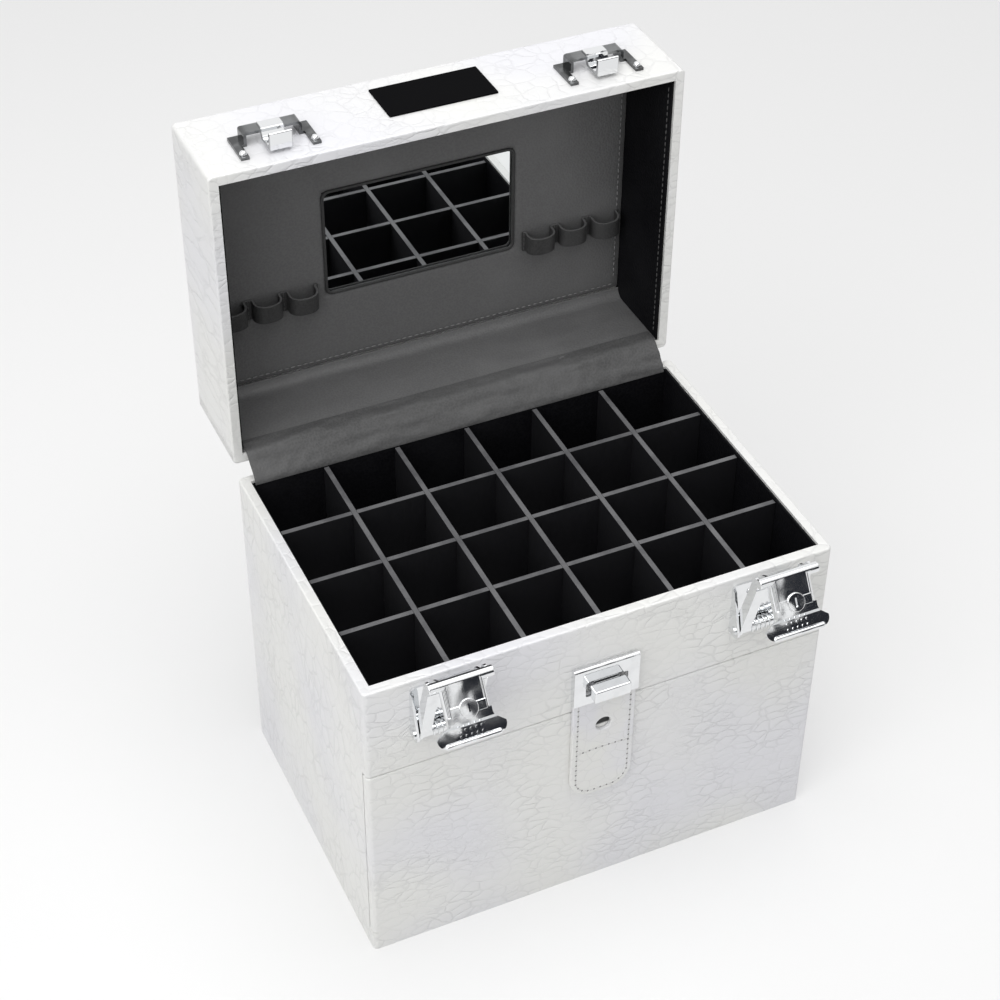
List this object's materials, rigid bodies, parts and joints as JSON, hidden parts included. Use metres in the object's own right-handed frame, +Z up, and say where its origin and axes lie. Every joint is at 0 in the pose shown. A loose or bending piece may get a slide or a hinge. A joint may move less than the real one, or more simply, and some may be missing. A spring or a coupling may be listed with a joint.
{
  "type": "nail polish organizer case",
  "caption": "White embossed leatherette train case with a divided bottle tray under a mirrored lid, key draw latches, a carry handle and a drop front lower bay with a turn lock.",
  "frame": {"origin": "centre of the case's bottom face, on the surface that it stands on", "axes": "+Z up, -Y towards the front with the latches and the drop front, +X to the viewer's right"},
  "size_m": [0.24, 0.2716, 0.3561],
  "materials": {
    "croco_leatherette": "pearl white, embossed",
    "dark_lining": "charcoal leatherette lining",
    "dark_board": "black covered board",
    "chrome": "polished",
    "mirror_glass": "silvered glass"
  },
  "bodies": {
    "base": {"base_left_side": "croco_leatherette", "base_right_side": "croco_leatherette", "base_back": "croco_leatherette", "base_floor": "croco_leatherette", "front_rail": "croco_leatherette", "front_sill": "croco_leatherette", "tray_floor": "dark_board", "tray_linings": "dark_lining", "bay_linings": "dark_lining", "long_divider_1": "dark_board", "long_divider_2": "dark_board", "long_divider_3": "dark_board", "cross_divider_1": "dark_board", "cross_divider_2": "dark_board", "cross_divider_3": "dark_board", "cross_divider_4": "dark_board", "cross_divider_5": "dark_board", "latch_left_plate": "chrome", "latch_right_plate": "chrome", "latch_link_pins": "chrome", "base_rivets": "chrome", "lock_boss": "chrome", "hinge_left_base_leaf": "chrome", "hinge_right_base_leaf": "chrome", "hinge_pins": "chrome", "door_hinge_strip": "croco_leatherette", "hinge_gusset": "dark_lining"},
    "lid": {"lid_top": "croco_leatherette", "lid_front": "croco_leatherette", "lid_back": "croco_leatherette", "lid_left_side": "croco_leatherette", "lid_right_side": "croco_leatherette", "lid_panel": "dark_lining", "lid_wall_linings": "dark_lining", "lid_back_lining": "dark_lining", "mirror": "mirror_glass", "brush_loops_left": "dark_lining", "brush_loops_right": "dark_lining", "keeper_left": "chrome", "keeper_right": "chrome", "lid_rivets": "chrome", "hinge_left_lid_leaf": "chrome", "hinge_right_lid_leaf": "chrome", "handle_brackets": "chrome"},
    "door": {"door_panel": "croco_leatherette", "door_lining": "dark_lining", "clasp_strap": "croco_leatherette", "clasp_plate": "chrome"},
    "turn_knob": {"turn_knob": "chrome"},
    "carry_handle": {"carry_handle": "croco_leatherette"},
    "latch_left_link": {"latch_left_link": "chrome", "latch_left_lever_pin": "chrome"},
    "latch_left_lever": {"latch_left_lever": "chrome"},
    "latch_left_key_plug": {"latch_left_key_plug": "chrome"},
    "latch_right_link": {"latch_right_link": "chrome", "latch_right_lever_pin": "chrome"},
    "latch_right_lever": {"latch_right_lever": "chrome"},
    "latch_right_key_plug": {"latch_right_key_plug": "chrome"}
  },
  "joints": [
    {"name": "lid_hinge", "type": "hinge", "parent": "base", "child": "lid", "pos_m": [0, 0.0864, 0.17725], "axis": [1, 0, 0], "range_deg": [0, 90], "deforming": ["hinge_gusset"]},
    {"name": "door_hinge", "type": "hinge", "parent": "base", "child": "door", "pos_m": [0, -0.082, 0.0122], "axis": [1, 0, 0], "range_deg": [0, 90], "deforming": ["door_hinge_strip"]},
    {"name": "knob_turn", "type": "hinge", "parent": "base", "child": "turn_knob", "pos_m": [0, -0.082, 0.1387], "axis": [0, -1, 0], "range_deg": [0, 90]},
    {"name": "handle_swing", "type": "hinge", "parent": "lid", "child": "carry_handle", "pos_m": [0, 0.14765, 0.26365], "axis": [1, 0, 0], "range_deg": [0, 180]},
    {"name": "latch_left_swing", "type": "hinge", "parent": "base", "child": "latch_left_link", "pos_m": [-0.082, -0.0868, 0.148], "axis": [-1, 0, 0], "range_deg": [0, 15.9]},
    {"name": "latch_left_lift", "type": "hinge", "parent": "latch_left_link", "child": "latch_left_lever", "pos_m": [-0.082, -0.09811, 0.18772], "axis": [1, 0, 0], "range_deg": [0, 48.5]},
    {"name": "latch_left_key_turn", "type": "hinge", "parent": "latch_left_lever", "child": "latch_left_key_plug", "pos_m": [-0.082, -0.11117, 0.18123], "axis": [0, -0.8425, 0.5388], "range_deg": [0, 90]},
    {"name": "latch_right_swing", "type": "hinge", "parent": "base", "child": "latch_right_link", "pos_m": [0.082, -0.0868, 0.148], "axis": [-1, 0, 0], "range_deg": [0, 15.9]},
    {"name": "latch_right_lift", "type": "hinge", "parent": "latch_right_link", "child": "latch_right_lever", "pos_m": [0.082, -0.09811, 0.18772], "axis": [1, 0, 0], "range_deg": [0, 48.5]},
    {"name": "latch_right_key_turn", "type": "hinge", "parent": "latch_right_lever", "child": "latch_right_key_plug", "pos_m": [0.082, -0.11117, 0.18123], "axis": [0, -0.8425, 0.5388], "range_deg": [0, 90]}
  ]
}
